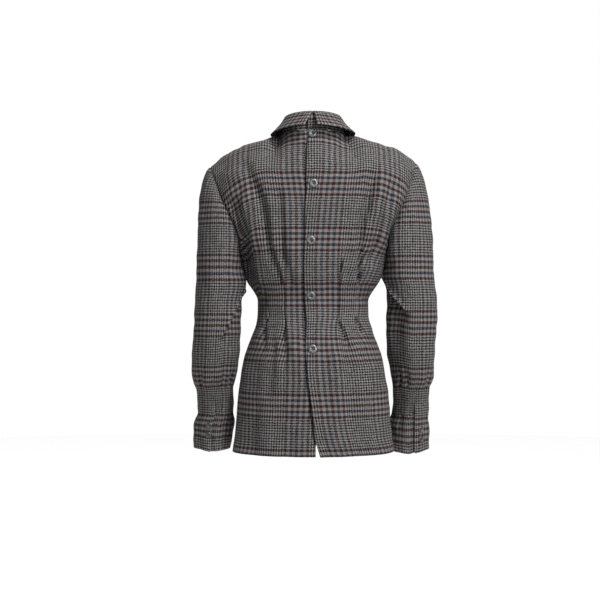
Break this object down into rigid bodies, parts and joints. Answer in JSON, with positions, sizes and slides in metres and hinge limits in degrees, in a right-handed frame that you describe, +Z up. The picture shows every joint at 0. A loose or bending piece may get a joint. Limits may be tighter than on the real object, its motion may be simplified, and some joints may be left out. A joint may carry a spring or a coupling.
{
  "type": "back-buttoned blazer",
  "caption": "Fitted wool blazer in its hollow worn form: buttoned down the back, split turn-down collar, tucked waist, two-piece sleeves drawn in above flared, vented cuffs.",
  "frame": {"origin": "middle of the neck base, level with the shoulder seams, where the wearer's neck and shoulders hold the garment up", "axes": "+Z up the body, -Y out of the buttoned back, +X to the right of someone who looks at that back"},
  "size_m": [0.5274, 0.2499, 0.7233],
  "materials": {
    "wool_check": "woven wool in a grey glen check with burgundy and slate lines",
    "grey_button": "polished grey horn-like"
  },
  "bodies": {
    "root": {"back_left": "wool_check", "back_right": "wool_check", "front": "wool_check", "sleeve_left_upper": "wool_check", "sleeve_left_under": "wool_check", "sleeve_right_upper": "wool_check", "sleeve_right_under": "wool_check", "collar_stand": "wool_check", "collar_fall": "wool_check", "back_button_1": "grey_button", "back_button_2": "grey_button", "back_button_3": "grey_button", "back_button_4": "grey_button", "back_button_5": "grey_button", "cuff_button_left_1": "grey_button", "cuff_button_left_2": "grey_button", "cuff_button_right_1": "grey_button", "cuff_button_right_2": "grey_button"}
  },
  "joints": []
}
